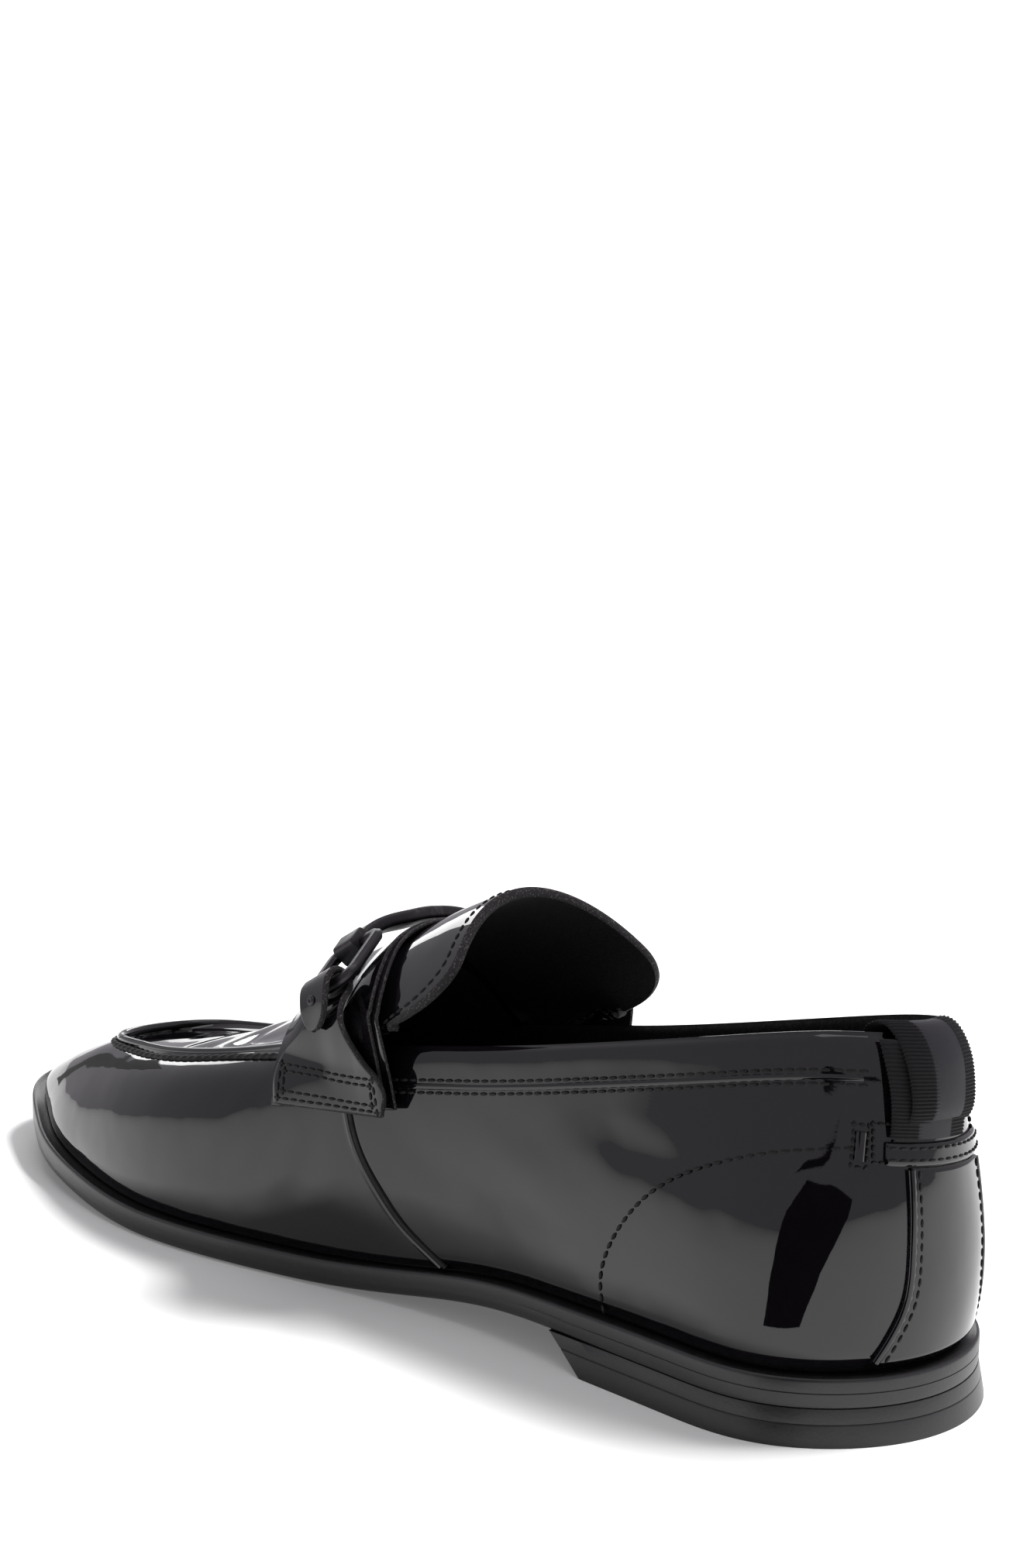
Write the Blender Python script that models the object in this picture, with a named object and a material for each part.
"""Bit loafer, left shoe: a patent leather slip-on with a metal bit.

Runs in Blender 4.5.  Metres, +Z up, +X towards the toe, +Y towards the
outside of a left foot.  The shoe stands on z = 0 and is centred on the origin.

Every form follows from one outline of the sole.  A station on it is an angle
phi: 0 at the back of the heel, pi at the toe, and on to 2 pi round the inside.
f = (1 - cos phi) / 2 is the share of the length at that station, so curves
close smoothly at both ends.
"""
import math

import bmesh
import bpy
import numpy as np
from mathutils import Vector
from mathutils.bvhtree import BVHTree

# Driving sizes
LENGTH = 0.302          # outsole, heel to toe
BALL = 0.095            # outsole, across the ball
COLLAR = 0.0850         # top of the collar at the back, above the floor
INSTEP = 0.0790         # top of the instep at the throat, above the floor
HEEL_H = 0.0081         # heel block under the outsole
SOLE_T = 0.0066         # outsole at its edge
TOE_SPRING = 0.0094     # lift of the sole's underside at the toe
TOE_IN = 0.0100         # swing of the toe to the inside
LEAN = 0.11             # slope of the upper across the foot, outside higher
SKEW = 0.18             # turn of tongue, strap and bit, outside further forward
HEEL_R = 0.035          # outline radius at the back of the heel
TOE_R = 0.026           # outline radius at the toe
LEDGE = 0.0036          # outsole seen outside the upper
WALL = 0.0024           # upper, leather and lining together
GAP = 0.0003            # clearance between pieces that meet
GROOVE = 0.0005         # depth of the lines round the sole and heel
HEEL_FLARE = 0.0016     # heel at the floor, past the outline of the sole
HEEL_LIFT = 0.0048      # lowest layer of the heel
BREAST_FLOOR = 0.073    # front of the heel at the floor, from its back
BREAST_TOP = 0.0845     # and where it meets the outsole
INSOLE_T = 0.0025
LAP_T = 0.0009          # step where the quarter lies over the vamp
RIDGE = 0.0012          # raised apron seam
TONGUE_T = 0.0025
STRAP_T = 0.0020        # saddle strap across the instep
WING_T = 0.0016         # leather that holds the bit
OVERLAY_T = 0.0012      # strip and band at the back
RIBBON_T, RIBBON_W = 0.0010, 0.021
RIBBON_Y = 0.0032       # middle of the pull loop, to the outside
ROD_W, ROD_T = 0.0034, 0.0025   # section of the bit's rings
RING_W, RING_L = 0.0168, 0.0185  # between the middles of a ring's sides
RING_FOOT_R, RING_TOP_R = 0.0040, 0.0026   # its corners, in the leather and in the bar
RING_RAKE = 0.0080               # its top further forward than its foot
SLEEVE_L = 0.0078                # end of the bar, along the ring's top
SLEEVE_AHEAD = 0.0016            # how far it sits ahead of the ring's middle
SLEEVE_T = 0.0013                # its wall round the ring
BAR_W, BAR_T = 0.0076, 0.0036    # plate between the two sleeves

# Outline of the outsole: half widths as shares of BALL
OUTLINE = np.array([
    # f     outside  inside
    [0.08, 0.374, 0.347],
    [0.16, 0.395, 0.368],
    [0.26, 0.368, 0.342],
    [0.36, 0.337, 0.300],
    [0.46, 0.363, 0.300],
    [0.56, 0.426, 0.353],
    [0.66, 0.479, 0.463],
    [0.74, 0.479, 0.521],
    [0.82, 0.432, 0.505],
    [0.90, 0.342, 0.421],
    [0.96, 0.226, 0.289]])

# Underside of the outsole: rise as shares of HEEL_H and of TOE_SPRING
PROFILE = np.array([
    # f     heel   toe
    [0.00, 1.00, 0.00],
    [0.15, 1.00, 0.00],
    [0.27, 0.95, 0.00],
    [0.36, 0.72, 0.00],
    [0.45, 0.25, 0.00],
    [0.52, 0.03, 0.00],
    [0.58, 0.00, 0.00],
    [0.70, 0.00, 0.00],
    [0.82, 0.00, 0.22],
    [0.91, 0.00, 0.55],
    [1.00, 0.00, 1.00]])

# Top edge of the upper's wall: the collar behind the throat, the apron seam
# in front of it.  x is a share of LENGTH, half of BALL, high of COLLAR
TOP = np.array([
    # f     x      half   high
    [0.00, 0.030, 0.000, 1.000],
    [0.07, 0.073, 0.226, 0.990],
    [0.15, 0.147, 0.284, 0.933],
    [0.25, 0.248, 0.300, 0.846],
    [0.35, 0.350, 0.310, 0.764],
    [0.45, 0.445, 0.330, 0.700],
    [0.55, 0.523, 0.352, 0.640],
    [0.65, 0.590, 0.326, 0.573],
    [0.75, 0.662, 0.312, 0.508],
    [0.85, 0.742, 0.280, 0.455],
    [0.93, 0.810, 0.228, 0.427],
    [1.00, 0.863, 0.000, 0.405]])
TOP_HEEL_R, TOP_TOE_R = 0.019, 0.026   # plan radii of that edge at its ends
THROAT = 0.52                          # f where the collar ends

# Sections of the wall: handles of a cubic curve from the sole to the top edge.
# rise is a share of the section's height, out a share of BALL
SECTION = np.array([
    # f     rise1  out1    rise2  out2
    [0.00, 0.40, 0.052, 0.40, 0.030],
    [0.15, 0.40, 0.042, 0.35, 0.010],
    [0.30, 0.40, 0.032, 0.35, 0.010],
    [0.45, 0.42, 0.037, 0.30, 0.030],
    [0.58, 0.42, 0.042, 0.22, 0.084],
    [0.70, 0.45, 0.037, 0.10, 0.137],
    [0.85, 0.36, 0.020, 0.06, 0.110],
    [0.93, 0.30, 0.014, 0.05, 0.070],
    [1.00, 0.26, 0.018, 0.05, 0.055]])

# Crown of the apron over the straight line across it, share of INSTEP
CROWN = np.array([
    # f     crown
    [0.50, 0.290],
    [0.55, 0.244],
    [0.65, 0.166],
    [0.75, 0.100],
    [0.85, 0.042],
    [0.93, 0.012],
    [1.00, 0.000]])

# Front edge of the quarter, where it lies over the vamp
LAP = np.array([
    # v     f
    [0.00, 0.400],
    [0.15, 0.436],
    [0.30, 0.461],
    [0.42, 0.478],
    [0.64, 0.498],
    [1.00, 0.512]])

# Tongue from its front end under the strap to its free edge.  high and drop
# are shares of INSTEP, half of BALL, x and how far its sides trail back and
# then come forward again at their ends of LENGTH; turn is its sides' angle
TONGUE = np.array([
    # t     x      high   half   drop   back   end    turn
    [0.00, 0.565, 0.860, 0.330, 0.280, 0.000, 0.000, 60.0],
    [0.25, 0.538, 0.930, 0.335, 0.300, 0.000, 0.000, 70.0],
    [0.50, 0.505, 0.974, 0.340, 0.320, 0.004, 0.000, 82.0],
    [0.75, 0.457, 1.098, 0.338, 0.332, 0.010, 0.010, 94.0],
    [1.00, 0.399, 1.212, 0.368, 0.362, 0.040, 0.072, 112.0]])
TONGUE_SEAT = 0.86      # share of the apron's width that its front end covers

# Saddle strap: its edges from the top of the instep down to its lower end.
# turn is in degrees round the instep, front and back are shares of LENGTH and
# lift how far it stands off, a share of INSTEP
STRAP = np.array([
    # turn  front   back   lift
    [0.0,  0.573, 0.480, 0.012],
    [18.0, 0.569, 0.473, 0.013],
    [33.0, 0.561, 0.454, 0.014],
    [55.0, 0.544, 0.424, 0.022],
    [70.0, 0.534, 0.415, 0.014],
    [84.5, 0.526, 0.412, 0.008]])
SLANT = 0.115           # how much higher its lower end is at the back

# Wing on each end of the strap, from its lower edge, 0, to the ring's rod, 1
WING = np.array([
    # way   front  back
    [0.00, 0.517, 0.419],
    [0.38, 0.520, 0.422],
    [0.50, 0.516, 0.436],
    [0.62, 0.507, 0.450],
    [0.80, 0.498, 0.458],
    [1.00, 0.493, 0.460]])
WING_FOOT = 80.5        # turn of the wing's lower edge, degrees
WING_SLANT = 3.1        # and its rise to the back, radians a metre
RING_FOOT = 46.0        # turn of the rod that the wing is folded round
TAB_W, TAB_L = 0.0096, 0.0105   # the wing's folded end, over the ring
FOLD_SLACK = 0.0006     # room in the fold round the rod, past GAP
RIVET_R, RIVET_T = 0.0012, 0.0006

# Pull loop in the shoe's middle plane: from the band at the back, over the
# collar and down inside.  x in shares of COLLAR from the upper's back
LOOP = np.array([
    # s     out    high
    [0.00, 0.052, 0.790],
    [0.16, 0.038, 0.822],
    [0.34, 0.038, 0.890],
    [0.50, 0.056, 0.964],
    [0.62, 0.096, 1.012],
    [0.74, 0.142, 1.006],
    [0.86, 0.160, 0.955],
    [1.00, 0.148, 0.835]])

def spline(xs, ys, at):
    """Natural cubic spline through (xs, ys)."""
    xs, ys, at = (np.asarray(a, float) for a in (xs, ys, at))
    n = len(xs)
    h = np.diff(xs)
    m = np.eye(n)
    b = np.zeros((n,) + ys.shape[1:])
    slope = np.diff(ys, axis=0) / (h[:, None] if ys.ndim > 1 else h)
    for i in range(1, n - 1):
        m[i, i - 1:i + 2] = h[i - 1], 2 * (h[i - 1] + h[i]), h[i]
        b[i] = 6 * (slope[i] - slope[i - 1])
    c = np.linalg.solve(m, b)
    k = np.clip(np.searchsorted(xs, at, side="right") - 1, 0, n - 2)
    t, w = at - xs[k], h[k]
    if ys.ndim > 1:
        t, w = t[..., None], w[..., None]
    return (ys[k] + t * (slope[k] - w * (2 * c[k] + c[k + 1]) / 6)
            + t ** 2 * c[k] / 2 + t ** 3 * (c[k + 1] - c[k]) / (6 * w))


def unit(v):
    return v / np.linalg.norm(v, axis=-1, keepdims=True)


def cross(a, b):
    """How far b lies to the left of a, in a plane."""
    return a[..., 0] * b[..., 1] - a[..., 1] * b[..., 0]


def smooth(a, b, x):
    t = np.clip((x - a) / (b - a), 0, 1)
    return t * t * (3 - 2 * t)


def share(phi):
    return (1 - np.cos(phi)) / 2


def centre(x):
    """Middle line of the shoe: straight at the heel, then swung inwards."""
    return -TOE_IN * np.clip((x / LENGTH - 0.35) / 0.65, 0, 1.2) ** 2


def rounded(f, w, r_back, r_toe, length, at):
    """Half width at f = at, with round ends of the two radii."""
    ends = [math.sqrt(r_back * length / 2), math.sqrt(r_toe * length / 2)]
    inner = (f > 0) & (f < 1)
    h = w[inner] / (2 * np.sqrt(f[inner] * (1 - f[inner])))
    h = spline(np.r_[0, f[inner], 1], np.r_[ends[0], h, ends[1]], at)
    return h * 2 * np.sqrt(at * (1 - at))


def outline(phi):
    """Plan of the outsole's edge."""
    f = share(phi)
    half = [rounded(OUTLINE[:, 0], OUTLINE[:, c] * BALL, HEEL_R, TOE_R, LENGTH, f)
            for c in (1, 2)]
    y = np.where(np.sin(phi) >= 0, half[0], -half[1])
    return np.stack([LENGTH * f, y + centre(LENGTH * f)], -1)


def outward(phi):
    """Unit normal of that edge in plan."""
    t = unit(outline(phi + 1e-3) - outline(phi - 1e-3))
    return np.stack([-t[..., 1], t[..., 0]], -1)


def inset(phi, d):
    return outline(phi) - outward(phi) * d


def underside(x):
    """Height of the outsole's underside."""
    rise = PROFILE[:, 1] * HEEL_H + PROFILE[:, 2] * TOE_SPRING
    return np.maximum(spline(PROFILE[:, 0], rise, np.clip(x / LENGTH, 0, 1)), 0)


def raised(plan, z):
    """A plan curve lifted to height z."""
    return np.concatenate([plan, np.broadcast_to(z, plan.shape[:-1])[..., None]], -1)


def stations(n):
    return np.arange(n) * 2 * math.pi / n


def top_edge(phi):
    """Collar and apron seam."""
    f = share(phi)
    x = spline(TOP[:, 0], TOP[:, 1] * LENGTH, f)
    span = (TOP[-1, 1] - TOP[0, 1]) * LENGTH
    h = rounded(TOP[:, 0], TOP[:, 2] * BALL, TOP_HEEL_R, TOP_TOE_R, span, f)
    z = spline(TOP[:, 0], TOP[:, 3] * COLLAR, f)
    return np.stack([x, np.sign(np.sin(phi)) * h + centre(x), z], -1)


def wall(phi, v, off=0.0):
    """Outer face of the upper's wall, v from the sole, 0, to the top edge, 1.

    off moves it along its normal, so a negative one gives the lining side.
    """
    phi, v = np.broadcast_arrays(np.asarray(phi, float), np.asarray(v, float))

    def at(phi, t):
        foot = inset(phi, LEDGE)
        out = raised(outward(phi), 0.0)
        p0 = raised(foot, underside(foot[..., 0]) + SOLE_T + GAP)
        p3 = top_edge(phi)
        high = (p3 - p0) * [0, 0, 1]
        s = spline(SECTION[:, 0], SECTION[:, 1:] * [1, BALL, 1, BALL], share(phi))
        p1 = p0 + high * s[..., :1] + out * s[..., 1:2]
        p2 = p3 - high * s[..., 2:3] + out * s[..., 3:]
        t = t[..., None]
        return p0 * (1 - t) ** 3 + 3 * p1 * t * (1 - t) ** 2 + 3 * p2 * t ** 2 * (1 - t) + p3 * t ** 3

    pts = at(phi, v)
    if not np.any(off):
        return pts
    e = 1e-3
    n = unit(np.cross(at(phi, v + e) - at(phi, v - e), at(phi + e, v) - at(phi - e, v)))
    return pts + n * np.asarray(off)[..., None]


def apron(phi, u, off=0.0):
    """Apron between the two sides of its seam, u from -1 inside to 1 outside."""
    phi, t = np.meshgrid(phi, u, indexing="ij")
    left, right = top_edge(phi), top_edge(2 * math.pi - phi)
    crown = spline(CROWN[:, 0], CROWN[:, 1] * INSTEP, share(phi))
    t = t[..., None]
    pts = left * (1 + t) / 2 + right * (1 - t) / 2
    return pts + (1 - t ** 2) * crown[..., None] * [0, 0, 1] + np.array([0, 0, 1.0]) * off


def make(name, verts, faces, colour, rough, metal=0.0):
    mesh = bpy.data.meshes.new(name)
    bm = bmesh.new()
    vs = [bm.verts.new(v) for v in verts]
    for f in faces:
        f = list(dict.fromkeys(f))
        if len(f) > 2:
            bm.faces.new([vs[i] for i in f])
    bmesh.ops.recalc_face_normals(bm, faces=bm.faces)
    if bm.calc_volume(signed=True) < 0:
        bmesh.ops.reverse_faces(bm, faces=bm.faces)
    bm.to_mesh(mesh)
    bm.free()
    ob = bpy.data.objects.new(name, mesh)
    bpy.context.scene.collection.objects.link(ob)
    mat = bpy.data.materials.new(name)
    mat.use_nodes = True
    b = mat.node_tree.nodes["Principled BSDF"]
    b.inputs["Base Color"].default_value = (*colour, 1)
    b.inputs["Roughness"].default_value = rough
    b.inputs["Metallic"].default_value = metal
    mesh.materials.append(mat)
    return ob


def stack(name, rings, *look):
    """A solid skinned over closed rings, from the lowest to the highest.

    Ring points i and n - i face each other across the shoe, so the two ends
    are closed with strips across it.
    """
    n = len(rings[0])
    faces = []
    for r in range(len(rings) - 1):
        for i in range(n):
            j = (i + 1) % n
            faces.append([r * n + i, r * n + j, (r + 1) * n + j, (r + 1) * n + i])
    for base in (0, (len(rings) - 1) * n):
        for i in range(n // 2):
            faces.append([base + i, base + i + 1, base + (n - i - 1) % n, base + (n - i) % n])
    return make(name, np.concatenate(rings), faces, *look)


def slab(name, outer, inner, *look, closed=False):
    """A solid between two grids of points; closed ones run round on themselves."""
    rows, cols = outer.shape[:2]
    n = rows * cols
    faces = []
    for i in range(rows if closed else rows - 1):
        k = (i + 1) % rows
        for j in range(cols - 1):
            a = [i * cols + j, i * cols + j + 1, k * cols + j + 1, k * cols + j]
            faces += [a, [x + n for x in reversed(a)]]
        for j in (0, cols - 1):
            faces.append([i * cols + j, k * cols + j, k * cols + j + n, i * cols + j + n])
    if not closed:
        for i in (0, rows - 1):
            for j in range(cols - 1):
                a = i * cols + j
                faces.append([a, a + 1, a + 1 + n, a + n])
    return make(name, np.concatenate([outer.reshape(-1, 3), inner.reshape(-1, 3)]), faces, *look)


def sweep(name, path, side, section, *look):
    """A closed rod: the section's (side, across) points carried round a path."""
    along = unit(np.roll(path, -1, 0) - np.roll(path, 1, 0))
    across = np.cross(along, side)
    pts = path[:, None] + section[None, :, :1] * side + section[None, :, 1:] * across[:, None]
    rows, cols = pts.shape[:2]
    faces = [[i * cols + j, i * cols + (j + 1) % cols,
              (i + 1) % rows * cols + (j + 1) % cols, (i + 1) % rows * cols + j]
             for i in range(rows) for j in range(cols)]
    return make(name, pts.reshape(-1, 3), faces, *look)


RUBBER = (0.033, 0.030, 0.034), 0.45
PATENT = (0.012, 0.012, 0.013), 0.10
LINING = (0.030, 0.030, 0.032), 0.85
WEBBING = (0.035, 0.035, 0.038), 0.80
METAL = (0.060, 0.060, 0.062), 0.38, 0.9


def outsole():
    """Outsole with its ledge, arch, toe spring and the line along its side."""
    phi = stations(80)
    back = 1 - smooth(0.28, 0.40, share(phi))
    rings = []
    for high, out, line in ((0.00, -0.0012, 0), (0.12, -0.0002, 0), (0.46, 0, 0),
                            (0.53, 0, -1), (0.60, 0, 0), (0.92, 0, 0), (1.00, -0.0004, 0)):
        plan = inset(phi, (-out - line * GROOVE * back)[..., None] if line else -out)
        rings.append(raised(plan, underside(plan[:, 0]) + high * SOLE_T))
    return stack("outsole", rings, *RUBBER)


def heel(name, low, high):
    """A layer of the heel between two heights, with its slanted front."""
    rings = []
    for z, cut in ((low, GROOVE / 2), (low + 2 * GROOVE, 0), (high - 2 * GROOVE, 0), (high, GROOVE)):
        t = min(z / HEEL_H, 1)
        front = BREAST_FLOOR + (BREAST_TOP - BREAST_FLOOR) * t
        end = math.acos(1 - 2 * front / LENGTH)
        out = HEEL_FLARE * (1 - t) - cut
        side = inset(np.linspace(0, end, 22), -out)
        far = inset(-np.linspace(0, end, 22), -out)[::-1]
        plan = np.concatenate([side, far[:-1]])
        top = np.minimum(z, underside(plan[:, 0]) - GAP)
        rings.append(raised(plan, np.where(z >= HEEL_H - GAP, underside(plan[:, 0]) - GAP, top)))
    return stack(name, rings, *RUBBER)


def insole():
    phi = stations(56)
    rings = []
    for high, extra in ((0, 0.0004), (0.2, 0), (0.8, 0), (1.0, 0.0004)):
        toe = 0.0022 * smooth(0.88, 0.96, share(phi))
        plan = inset(phi, (LEDGE + WALL + 0.0012 + toe + extra)[:, None])
        rings.append(raised(plan, underside(plan[:, 0]) + SOLE_T + GAP + high * INSOLE_T))
    return stack("insole", rings, *LINING)


def lap_station(v):
    """Station of the quarter's front edge on the outside, at height v."""
    return np.arccos(1 - 2 * spline(LAP[:, 0], LAP[:, 1], v))


def upper():
    """The whole upper: vamp, quarters and apron as one wall, open at the collar
    and underneath, with a step along the quarter's edge and a raised apron seam."""
    half = np.linspace(0, math.pi, 41)
    lap = float(lap_station(0.5))
    k = int(np.argmin(abs(half - lap)))
    half = np.r_[half[:k], lap - 0.006, lap + 0.006, half[k + 1:]]
    n = 2 * (len(half) - 1)
    v = np.r_[0, 0.08, 0.18, 0.29, 0.40, 0.51, 0.62, 0.72, 0.80, 0.87, 0.93, 0.965, 1.0]
    vi = np.linspace(0, 1, 7)
    u = np.r_[1, 0.97, 0.92, 0.75, 0.5, 0.2]
    u = np.r_[u, -u[::-1]]
    bead = np.interp(abs(u), [0.92, 0.97, 1], [0, 0.8, 1]) * RIDGE

    def bent(base, v):
        """Stations moved so that one column follows the quarter's edge."""
        s = np.where(base > math.pi, 2 * math.pi - base, base)[:, None]
        s = s + (lap_station(v)[None] - lap) * np.exp(-((s - lap) / 0.35) ** 2)
        return np.where(base[:, None] > math.pi, 2 * math.pi - s, s)

    base = np.r_[half, 2 * math.pi - half[-2:0:-1]]
    over_vamp = np.r_[half < lap, (half < lap)[-2:0:-1]]
    first = int(np.argmax(share(half) >= THROAT))
    phi = bent(base, v)
    phi[:, -1] = base
    phi_in = bent(base, vi)
    phi_in[:, -1] = base
    front = share(base)[:, None] > THROAT - 0.01
    off = (over_vamp[:, None] * LAP_T * smooth(0, 0.05, v) * smooth(1, 0.9, v)
           + front * np.interp(v, [0.93, 0.965, 1], [0, 0.7, 1]) * RIDGE)
    outer = wall(phi, np.broadcast_to(v, phi.shape), np.maximum(off, 1e-9))
    inner = wall(phi_in, np.broadcast_to(vi, phi_in.shape), -WALL)
    rows = np.arange(first, len(half))
    over = apron(half[rows], u) + bead[None, :, None] * [0, 0, 1]
    under = apron(half[rows], u, -WALL)
    verts, faces, index = [], [], {}

    def put(key, p):
        index[key] = len(verts)
        verts.append(p)

    for i in range(n):
        for s, grid in (("wall out", outer), ("wall in", inner)):
            for j in range(grid.shape[1]):
                put((s, i, j), grid[i, j])
    for r, i in enumerate(rows):
        for c in range(1, len(u) - 1):
            put(("apron out", i, c), over[r, c])
            put(("apron in", i, c), under[r, c])
    last = {"out": len(v) - 1, "in": len(vi) - 1}

    def plug(side, i, c):
        if i == n // 2 or c == 0:
            return index["wall " + side, i, last[side]]
        if c == len(u) - 1:
            return index["wall " + side, n - i, last[side]]
        return index["apron " + side, i, c]

    for i in range(n):
        j = (i + 1) % n
        for side in last:
            s = "wall " + side
            for r in range(last[side]):
                faces.append([index[s, i, r], index[s, j, r], index[s, j, r + 1], index[s, i, r + 1]])
        rims = [0] if first <= i < n - first else [0, 1]
        for r in rims:
            faces.append([index["wall out", i, r * last["out"]], index["wall out", j, r * last["out"]],
                          index["wall in", j, r * last["in"]], index["wall in", i, r * last["in"]]])
    for c in range(len(u) - 1):
        for side in last:
            for i in rows[:-1]:
                faces.append([plug(side, i, c), plug(side, i + 1, c),
                              plug(side, i + 1, c + 1), plug(side, i, c + 1)])
        faces.append([plug("out", first, c), plug("out", first, c + 1),
                      plug("in", first, c + 1), plug("in", first, c)])
    return make("upper", verts, faces, *PATENT)


def apron_station(x):
    """Station on the outside where the apron seam reaches x."""
    phi = np.linspace(0.2, math.pi, 400)
    return np.interp(x, top_edge(phi)[:, 0], phi)


def tongue_at(t, u, off):
    """Tongue: seated on the apron's end, then an arch rising to its free edge."""
    t, u = np.meshgrid(t, u, indexing="ij")

    def at(t, u):
        x, high, half, drop, back, end, turn = np.moveaxis(spline(
            TONGUE[:, 0], TONGUE[:, 1:] * [LENGTH, INSTEP, BALL, INSTEP, LENGTH, LENGTH,
                                           math.pi / 180], t), -1, 0)
        a = u * turn
        xs = x - back * np.sin(a) ** 2 + end * smooth(0.45, 1.05, abs(u))
        free = np.stack([xs + SKEW * half * np.sin(a), centre(x) + half * np.sin(a),
                         high - drop * (0.6 * (1 - np.cos(a)) + 0.4 * np.sin(a) ** 2)], -1)
        phi = apron_station(x)
        left, right = top_edge(phi), top_edge(2 * math.pi - phi)
        w = (u * TONGUE_SEAT)[..., None]
        crown = spline(CROWN[:, 0], CROWN[:, 1] * INSTEP, share(phi))[..., None]
        seat = (left * (1 + w) + right * (1 - w)) / 2 + ((1 - w ** 2) * crown + 2 * GAP) * [0, 0, 1]
        k = smooth(0.40, 0.75, t)[..., None]
        return seat * (1 - k) + free * k

    e = 1e-3
    n = unit(np.cross(at(t, u + e) - at(t, u - e), at(t + e, u) - at(t - e, u)))
    return at(t, u) + n * np.sign(n[..., 2:] + 1e-9) * np.asarray(off)[..., None]


def tongue():
    t = np.linspace(0, 1, 13)
    u = np.linspace(-1, 1, 23)
    thick = TONGUE_T * (0.15 + 0.85 * smooth(0, 0.30, t))[:, None]
    return slab("tongue", tongue_at(t, u, thick), tongue_at(t, u, 0.0), *PATENT)


class Support:
    """The taut outside of the pieces made so far, section by section.

    A section is the convex outline across the foot at one x, in a plane turned
    by SKEW.  turn is the angle round it from straight up, positive to the
    outside.
    """

    def __init__(self, *obs):
        verts, polys = [], []
        for ob in obs:
            polys += [[i + len(verts) for i in p.vertices] for p in ob.data.polygons]
            verts += [v.co.copy() for v in ob.data.vertices]
        self.tree = BVHTree.FromPolygons(verts, polys)
        self.known = {}

    def section(self, x):
        key = round(x, 6)
        if key not in self.known:
            mid = np.array([float(centre(x)), 0.45 * INSTEP])
            pts = []
            for a in np.radians(np.arange(-112, 112.1, 0.5)):
                way = Vector((SKEW * math.sin(a), math.sin(a), math.cos(a)))
                p = self.tree.ray_cast(Vector((x, *mid)) + way * BALL, -way, 0.85 * BALL)[0]
                if p:
                    pts.append((p.y, p.z))
            hull = []
            for p in pts:
                while len(hull) > 1 and cross(np.subtract(hull[-1], hull[-2]),
                                              np.subtract(p, hull[-1])) >= 0:
                    hull.pop()
                hull.append(p)
            hull = np.array(hull) - mid
            self.known[key] = (np.arctan2(hull[:, 0], hull[:, 1]), hull, mid)
        return self.known[key]

    def at(self, x, turn, off=0.0):
        """A point at that turn, lifted off the surface."""
        angle, hull, mid = self.section(float(x))
        k = int(np.clip(np.searchsorted(angle, turn) - 1, 0, len(angle) - 2))
        a, d = hull[k], hull[k + 1] - hull[k]
        way = np.array([math.sin(turn), math.cos(turn)])
        r = cross(a, d) / cross(way, d)
        n = unit(np.array([-d[1], d[0]]))
        n = n if n @ way > 0 else -n
        y, z = mid + way * (r + off / max(n @ way, 0.6))
        return np.array([x + SKEW * (y - mid[0]), y, z])

    def up(self, x, turn):
        """Its normal there, from points a little apart."""
        along = self.at(x + 0.004, turn) - self.at(x - 0.004, turn)
        round_ = self.at(x, turn + 0.06) - self.at(x, turn - 0.06)
        return unit(np.cross(along, round_))


    def clear(self, points):
        """The least that the points stand off the surface, along their rays."""
        off = []
        for x, y, z in points:
            x -= SKEW * (y - float(centre(x)))
            mid = self.section(float(x))[2]
            way = np.array([y, z]) - mid
            at = self.at(x, math.atan2(way[0], way[1]))[1:] - mid
            off.append(np.linalg.norm(way) - np.linalg.norm(at))
        return min(off)


def strap(support):
    """Saddle strap over the tongue and down both sides."""
    turn = np.linspace(-STRAP[-1, 0], STRAP[-1, 0], 49)
    edge = spline(STRAP[:, 0], STRAP[:, 1:] * [LENGTH, LENGTH, INSTEP], abs(turn))
    across = np.linspace(0, 1, 7)
    both = [np.array([[support.at(e[0] * (1 - a) + e[1] * a,
                                  math.radians(th) * (1 - SLANT * a), e[2] + off)
                       for a in across] for e, th in zip(edge, turn)])
            for off in (STRAP_T, 0.0)]
    return slab("saddle_strap", *both, *PATENT)


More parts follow.
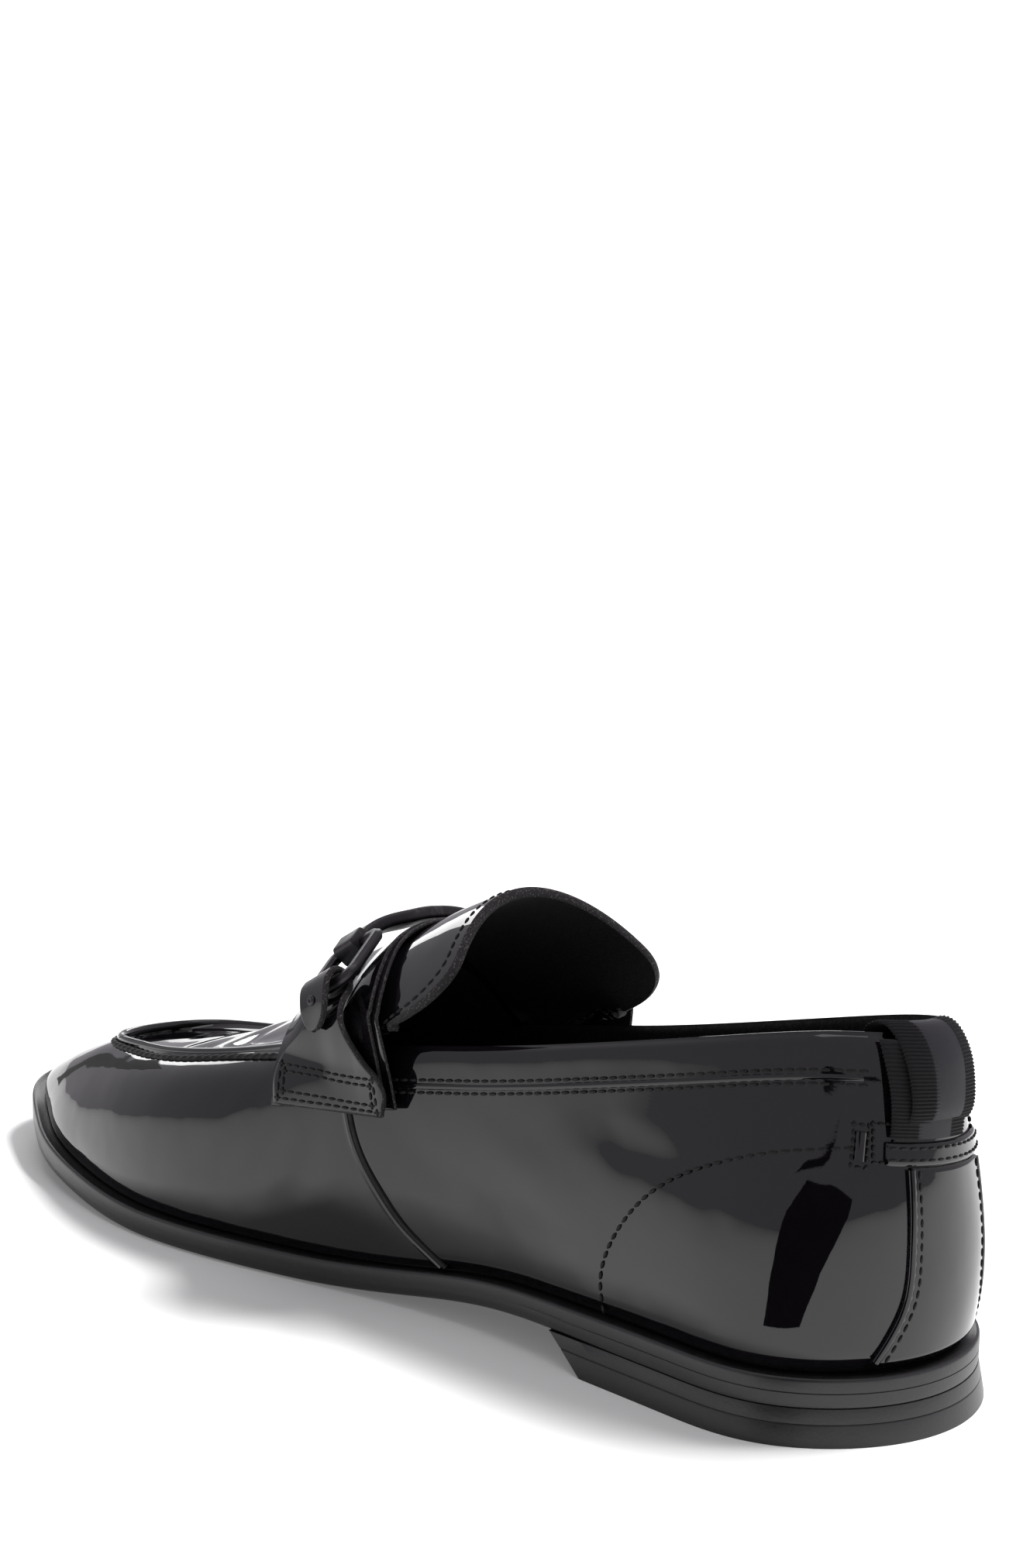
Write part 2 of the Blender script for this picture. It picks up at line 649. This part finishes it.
class Bit:
    """Places of one side's ring on the strap: side is 1 outside, -1 inside."""

    def __init__(self, support, side):
        self.support, self.side = support, side
        self.x = LENGTH * (WING[-1, 1] + WING[-1, 2]) / 2
        self.x_top = self.x + RING_RAKE
        self.low, self.rod = math.radians(WING_FOOT), math.radians(RING_FOOT)
        self.flat = 2.5 * GAP + WING_T / 2
        self.reach, self.rise = (r / 2 + GAP + FOLD_SLACK + WING_T / 2 for r in (ROD_W, ROD_T))
        self.foot = self.place(self.x, self.rod, self.flat + self.rise + 2 * GAP)
        turns = np.radians(np.arange(RING_FOOT, 5, -0.5))
        half, under = ROD_W / 2 + GAP + SLEEVE_T, ROD_T / 2 + GAP + SLEEVE_T
        for self.top_lift in np.arange(under + GAP, 0.012, 0.0002):
            tops = np.array([self.place(self.x_top, t, self.top_lift) for t in turns])
            k = int(np.argmax(np.linalg.norm(tops - self.foot, axis=1) >= RING_L))
            self.turn, self.top = turns[k], tops[k]
            self.down = unit(self.foot - self.top)
            along = (support.at(self.x_top + 0.004, side * self.turn)
                     - support.at(self.x_top - 0.004, side * self.turn))
            self.along = unit(along - self.down * (along @ self.down))
            self.out = np.cross(self.along, self.down) * side
            base = self.top - self.out * under
            if support.clear([base + self.along * (SLEEVE_AHEAD + a * SLEEVE_L / 2) + self.down * q * half
                              for a in (-1, 0, 1) for q in (-1, 0, 1)]) > 2 * GAP:
                break
        self.length = np.linalg.norm(self.place(self.x, self.low, self.flat)
                                     - self.place(self.x, self.rod, self.flat))

    def place(self, x, turn, lift):
        at = self.side * turn
        return self.support.at(x, at) + self.support.up(x, at) * lift

    def held(self, a, q, lift):
        """A point in the ring's own frame, from the middle of its lower rod."""
        return self.foot + self.along * a + self.down * q + self.out * lift

    def leather(self, a, q, lift=0.0):
        """Middle of the wing's leather, a to the front and q below the rod: on
        the strap at its foot, and held under the rod at its top."""
        w = 1 - q / self.length
        k = float(smooth(0.40, 0.95, w))
        turn = self.low + (self.rod - self.low) * w + a * WING_SLANT * (1 - w * w)
        return (self.place(self.x + a, turn, self.flat + lift) * (1 - k)
                + self.held(a, q, lift - self.rise) * k)

    def tab(self, a, q):
        """Middle of the leather of the tab that lies over it."""
        near = 0.75 * float(smooth(0.1, 0.9, q / TAB_L))
        return self.leather(a, q, 2 * self.rise * (1 - near) + (WING_T + 2 * GAP) * near)


def chamfered(w, h, cut):
    """Corners of a rectangle with its corners cut."""
    a, b = w / 2, h / 2
    return np.array([[a, b - cut], [a - cut, b], [cut - a, b], [-a, b - cut],
                     [-a, cut - b], [cut - a, -b], [a - cut, -b], [a, cut - b]])


def ring(name, bit):
    """Ring with round corners and a bevelled section."""
    path = []
    for k, r in enumerate((RING_FOOT_R, RING_FOOT_R, RING_TOP_R, RING_TOP_R)):
        cx = (RING_W / 2 - r) * (1 if k in (0, 3) else -1)
        cy = (RING_L / 2 - r) * (1 if k in (0, 1) else -1)
        for a in np.linspace(k, k + 1, 5) * math.pi / 2:
            path.append((cx + r * math.cos(a), cy + r * math.sin(a)))
    mid = (bit.top + bit.foot) / 2
    path = np.array([mid + p * bit.along + q * bit.down for p, q in path])
    return sweep(name, path, bit.out, chamfered(ROD_T, ROD_W, 0.0008), *METAL)


def bar(bits):
    """The bit's bar: a domed plate with a sleeve round each ring."""
    outside, inside = bits
    pieces = []
    for b in bits:
        outer = chamfered(ROD_W + 2 * (GAP + SLEEVE_T), ROD_T + 2 * (GAP + SLEEVE_T), 0.0012)
        hole = chamfered(ROD_W + 2 * GAP, ROD_T + 2 * GAP, 0.0007)
        ends = [b.top + b.along * (SLEEVE_AHEAD + k * SLEEVE_L / 2) for k in (-1, 1)]
        grids = [np.array([[e + p * b.down + q * b.out for e in ends] for p, q in sec])
                 for sec in (outer, hole)]
        pieces.append(slab("bit_bar", *grids, *METAL, closed=True))
    hold = SLEEVE_T / 2 + GAP + ROD_W / 2
    start, finish = (b.top - b.down * hold + b.along * SLEEVE_AHEAD for b in bits)
    sup, width = outside.support, start[1] - finish[1]
    rows = [(start, outside.out, outside.along)]
    for k in np.linspace(0, 1, 17)[1:-1]:
        end, near = (outside, k) if k < 0.5 else (inside, 1 - k)
        flat = start * (1 - k) + finish * k
        turn = math.atan2(flat[1] - float(centre(flat[0])), flat[2] - 0.45 * INSTEP)
        x = end.x_top - 0.0012 + SLEEVE_AHEAD + 0.0012 * (2 * near)
        up = sup.up(x, turn)
        own = float(smooth(0, 0.35, near))
        for lift in np.arange(GAP, 0.006, 0.0002):
            base = sup.at(x, turn) + up * lift
            if sup.clear([base - [0.0042, 0, 0], base, base + [0.0042, 0, 0]]) > 2 * GAP:
                break
        mid = base + up * BAR_T / 2
        reach = start if k < 0.5 else finish
        line = reach - end.down * near * width
        along = unit(sup.at(x + 0.004, turn) - sup.at(x - 0.004, turn))
        rows.append((line * (1 - own) + mid * own, unit(end.out * (1 - own) + up * own),
                     unit(end.along * (1 - own) + along * own)))
    rows.append((finish, inside.out, inside.along))
    across = np.linspace(-1, 1, 5)
    outer = np.array([[m + u * (BAR_T / 2 - 0.0007 * a * a) + l * a * BAR_W / 2 for a in across]
                      for m, u, l in rows])
    inner = np.array([[m - u * BAR_T / 2 + l * a * BAR_W / 2 for a in across] for m, u, l in rows])
    plate = slab("bit_bar", outer, inner, *METAL)
    for p in pieces:
        join = plate.modifiers.new("join", "BOOLEAN")
        join.operation, join.solver, join.object = "UNION", "EXACT", p
    bpy.context.view_layer.update()
    mesh = bpy.data.meshes.new_from_object(plate.evaluated_get(bpy.context.evaluated_depsgraph_get()))
    plate.modifiers.clear()
    plate.data = mesh
    for p in pieces:
        bpy.data.objects.remove(p, do_unlink=True)
    plate.name = "bit_bar"
    return plate


def wing(name, bit):
    """Wing of the strap: sewn down, narrowed to a neck, folded round the ring's
    rod and brought down over it as a tab with a round end."""
    across = np.linspace(0, 1, 7)
    rows = []
    for w in (0, 0.12, 0.26, 0.40, 0.48, 0.55, 0.63, 0.70, 0.78, 0.86, 0.93):
        front, back = spline(WING[:, 0], WING[:, 1:] * LENGTH, w) - bit.x
        rows.append([bit.leather(front * (1 - a) + back * a, bit.length * (1 - w)) for a in across])
    neck = (WING[-1, 1] - WING[-1, 2]) * LENGTH / 2
    for turn in np.radians(np.linspace(-90, 90, 9)):
        k = turn / math.pi + 0.5
        half = neck * (1 - k) + TAB_W / 2 * k
        rows.append([bit.held(half * (1 - 2 * a), -bit.reach * math.cos(turn),
                              bit.rise * math.sin(turn)) for a in across])
    for s in (0.15, 0.30, 0.45, 0.60, 0.72, 0.82, 0.90, 0.96, 0.99):
        end = max(0.0, (s * TAB_L - (TAB_L - TAB_W / 2)) / (TAB_W / 2))
        half = TAB_W / 2 * math.sqrt(1 - end ** 2)
        rows.append([bit.tab(half * (1 - 2 * a), s * TAB_L) for a in across])
    rows = np.array(rows)
    n = unit(np.cross(np.gradient(rows, axis=0), np.gradient(rows, axis=1))) * WING_T / 2
    return slab(name, rows + n, rows - n, *PATENT)


def rivet(name, bit):
    """Head of the rivet in the middle of the tab's round end."""
    q = TAB_L - TAB_W / 2
    mid = bit.tab(0, q)
    x = unit(bit.tab(0.001, q) - bit.tab(-0.001, q))
    y = unit(bit.tab(0, q + 0.001) - bit.tab(0, q - 0.001))
    up = unit(np.cross(x, y)) * bit.side
    mid = mid + up * (WING_T / 2 + GAP)
    y = np.cross(up, x)
    a = stations(16)[:, None]
    rim = np.cos(a) * x + np.sin(a) * y
    rings = [mid + rim * RIVET_R, mid + up * RIVET_T * 0.6 + rim * RIVET_R,
             mid + up * RIVET_T + rim * RIVET_R * 0.6]
    return stack(name, rings, *METAL)


def overlay(name, low, high, half, n=(9, 7)):
    """Leather laid on the back of the upper between two heights.  half is its
    half width in stations, evenly spaced from its lower end to its upper."""
    v = np.linspace(low, high, n[0])
    half = spline(np.linspace(low, high, len(half)), half, v)
    phi = half[:, None] * np.linspace(-1, 1, n[1])[None]
    v = np.broadcast_to(v[:, None], phi.shape)
    return slab(name, wall(phi, v, LAP_T + GAP + OVERLAY_T), wall(phi, v, LAP_T + GAP), *PATENT)


def pull_loop():
    """Ribbon sewn in above the band at the back and brought over the collar."""
    s = np.linspace(0, 1, 21)
    path = spline(LOOP[:, 0], LOOP[:, 1:] * COLLAR, s)
    d = np.gradient(path, axis=0)
    n = unit(np.stack([-d[:, 1], d[:, 0]], -1))
    y = RIBBON_Y + np.linspace(-RIBBON_W / 2, RIBBON_W / 2, 5)
    round_ = HEEL_R + (TOP_HEEL_R - HEEL_R) * smooth(0, 0.6, s)
    grids = []
    for k in (0, 1):
        p = path + n * RIBBON_T * k
        grids.append(np.array([[[px + py ** 2 / (2 * r), py, pz] for py in y]
                               for (px, pz), r in zip(p, round_)]))
    return slab("pull_loop", grids[1], grids[0], *WEBBING)


def lean(ob):
    """Tip the upper's forms to the inside above the sole."""
    for v in ob.data.vertices:
        k = smooth(0.018, 0.045, v.co.z)
        v.co.z += LEAN * (v.co.y - float(centre(v.co.x))) * float(k)


def seat_on_origin(obs):
    """Hang every piece on one empty, so that the whole stands centred."""
    pts = np.array([v.co for ob in obs for v in ob.data.vertices])
    low, high = pts.min(0), pts.max(0)
    root = bpy.data.objects.new("bit_loafer", None)
    bpy.context.scene.collection.objects.link(root)
    root.location = (-(low[0] + high[0]) / 2, -(low[1] + high[1]) / 2, -low[2])
    for ob in obs:
        ob.parent = root


for old in list(bpy.data.objects):
    bpy.data.objects.remove(old, do_unlink=True)

sole = [outsole(), heel("heel_lift", 0.0, HEEL_LIFT - GAP / 2),
        heel("heel_stack", HEEL_LIFT + GAP / 2, HEEL_H), insole()]
body, flap = upper(), tongue()
saddle = strap(Support(body, flap))
taut = Support(body, flap, saddle)
bits = [Bit(taut, 1), Bit(taut, -1)]
tops = [body, flap, saddle, bar(bits), pull_loop(),
        overlay("heel_strip", 0.03, 0.60, (0.29, 0.215, 0.200, 0.200, 0.205)),
        overlay("heel_band", 0.62, 0.68, (0.30, 0.30), (4, 13))]
for place, bit in zip(("outside", "inside"), bits):
    tops += [ring("bit_ring_" + place, bit), wing("strap_wing_" + place, bit),
             rivet("tab_rivet_" + place, bit)]
for ob in tops:
    lean(ob)
seat_on_origin(sole + tops)
bpy.context.view_layer.update()
